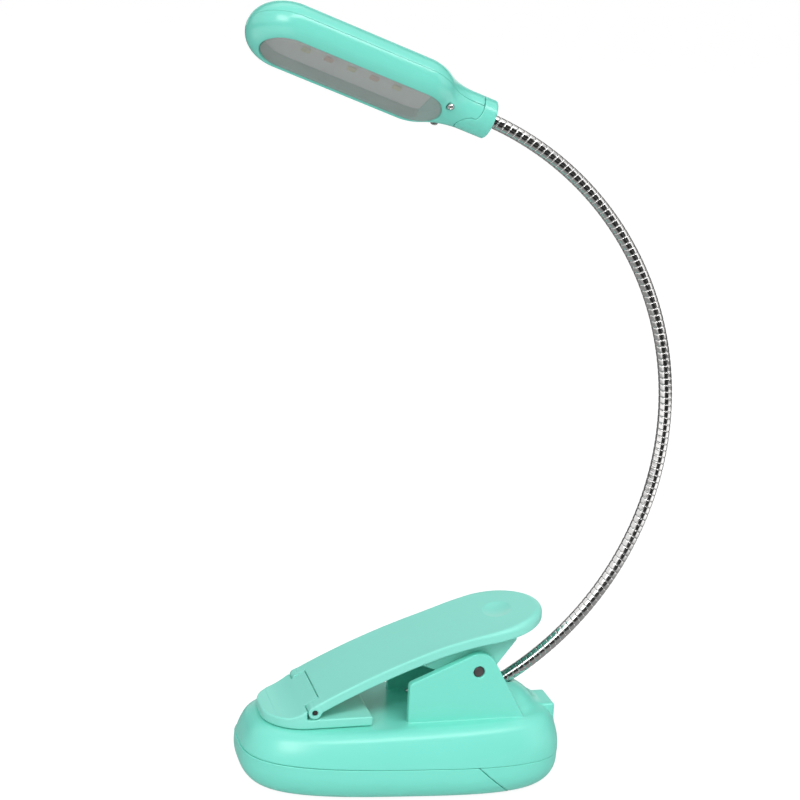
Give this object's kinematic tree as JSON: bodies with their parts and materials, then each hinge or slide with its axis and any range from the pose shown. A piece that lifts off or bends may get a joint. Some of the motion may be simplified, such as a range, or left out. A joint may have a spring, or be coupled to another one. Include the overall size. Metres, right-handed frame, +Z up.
{
  "type": "clip on reading lamp",
  "caption": "Battery reading lamp with a sprung clip on its pebble base, a wound gooseneck and a flat light head with a row of diodes behind a window.",
  "frame": {"origin": "centre of the base's flat underside, on the surface that the lamp stands on", "axes": "+Z up, +X toward the neck and the lever's thumb end, -X toward the clip's jaw, +Y across the base"},
  "size_m": [0.1367, 0.0476, 0.226],
  "materials": {
    "shell_plastic": "satin moulded mint plastic with soft highlights",
    "clip_plastic": "satin moulded mint plastic, a little paler",
    "neck_metal": "bright wound steel",
    "steel": "plain bright steel",
    "dark_steel": "dark steel pins",
    "window_plastic": "clear acrylic, lightly smoked",
    "tray_plastic": "plain moulded",
    "board_green": "solder mask over glass fibre",
    "board_white": "white solder mask",
    "led_yellow": "phosphor dome",
    "cell_jacket": "printed jacket, left plain",
    "switch_black": "moulded"
  },
  "bodies": {
    "base": {"upper_shell": "shell_plastic", "lower_shell": "shell_plastic", "battery_tray": "tray_plastic", "tray_screws": "steel", "cell_1": "cell_jacket", "cell_2": "cell_jacket", "cell_3": "cell_jacket", "contact_springs": "steel", "contact_plates": "steel", "main_board": "board_green", "usb_socket": "steel", "push_switch": "switch_black", "case_screws": "steel", "main_pin": "dark_steel", "spring_coils": "steel", "neck_set_screw": "dark_steel", "neck_link_0": "neck_metal"},
    "battery_door": {"battery_door": "shell_plastic"},
    "power_button": {"power_button": "shell_plastic", "switch_plunger": "tray_plastic"},
    "clip_lever": {"clip_lever": "clip_plastic", "pad_pin": "dark_steel", "spring_bridge": "steel"},
    "jaw_pad": {"jaw_pad": "clip_plastic"},
    "neck_1": {"neck_link_1": "neck_metal"},
    "neck_2": {"neck_link_2": "neck_metal"},
    "neck_3": {"neck_link_3": "neck_metal"},
    "neck_4": {"neck_link_4": "neck_metal"},
    "neck_5": {"neck_link_5": "neck_metal"},
    "neck_6": {"neck_link_6": "neck_metal"},
    "neck_7": {"neck_link_7": "neck_metal"},
    "head": {"neck_link_8": "neck_metal", "head_back_shell": "shell_plastic", "head_front_frame": "shell_plastic", "diffuser": "window_plastic", "led_board": "board_white", "leds": "led_yellow", "head_screws": "steel"}
  },
  "joints": [
    {"name": "battery_door_slide", "type": "slide", "parent": "base", "child": "battery_door", "axis": [-1, 0, 0], "range_m": [0, 0.009]},
    {"name": "power_button_press", "type": "slide", "parent": "base", "child": "power_button", "axis": [0, -1, 0], "range_m": [0, 0.0008], "stiffness_N_per_m": 250, "springref_m": -0.0004},
    {"name": "clip_lever_hinge", "type": "hinge", "parent": "base", "child": "clip_lever", "pos_m": [0.01914, 0, 0.03794], "axis": [0, 1, 0], "range_deg": [0, 18], "stiffness_Nm_per_rad": 0.15, "springref_deg": -34.38},
    {"name": "jaw_pad_hinge", "type": "hinge", "parent": "clip_lever", "child": "jaw_pad", "pos_m": [-0.02939, 0, 0.02578], "axis": [0, 1, 0], "range_deg": [-18, 0]},
    {"name": "neck_bend_1", "type": "hinge", "parent": "base", "child": "neck_1", "pos_m": [0.04434, 0, 0.04087], "axis": [0, 1, 0], "range_deg": [-12, 20]},
    {"name": "neck_swing_2", "type": "hinge", "parent": "neck_1", "child": "neck_2", "pos_m": [0.05931, 0, 0.05955], "axis": [0.8536, 0, -0.521], "range_deg": [-20, 20]},
    {"name": "neck_bend_3", "type": "hinge", "parent": "neck_2", "child": "neck_3", "pos_m": [0.06908, 0, 0.0814], "axis": [0, 1, 0], "range_deg": [-12, 20]},
    {"name": "neck_swing_4", "type": "hinge", "parent": "neck_3", "child": "neck_4", "pos_m": [0.07304, 0, 0.10501], "axis": [0.9993, 0, -0.0384], "range_deg": [-20, 20]},
    {"name": "neck_bend_5", "type": "hinge", "parent": "neck_4", "child": "neck_5", "pos_m": [0.07091, 0, 0.12886], "axis": [0, 1, 0], "range_deg": [-12, 20]},
    {"name": "neck_swing_6", "type": "hinge", "parent": "neck_5", "child": "neck_6", "pos_m": [0.06284, 0, 0.1514], "axis": [0.891, 0, 0.454], "range_deg": [-20, 20]},
    {"name": "neck_bend_7", "type": "hinge", "parent": "neck_6", "child": "neck_7", "pos_m": [0.04935, 0, 0.17117], "axis": [0, 1, 0], "range_deg": [-12, 20]},
    {"name": "neck_swing_8", "type": "hinge", "parent": "neck_7", "child": "head", "pos_m": [0.03131, 0, 0.18691], "axis": [0.5563, 0, 0.831], "range_deg": [-20, 20]}
  ],
  "couplings": [
    {"joint": "jaw_pad_hinge", "follows": "clip_lever_hinge", "ratio": -1}
  ]
}
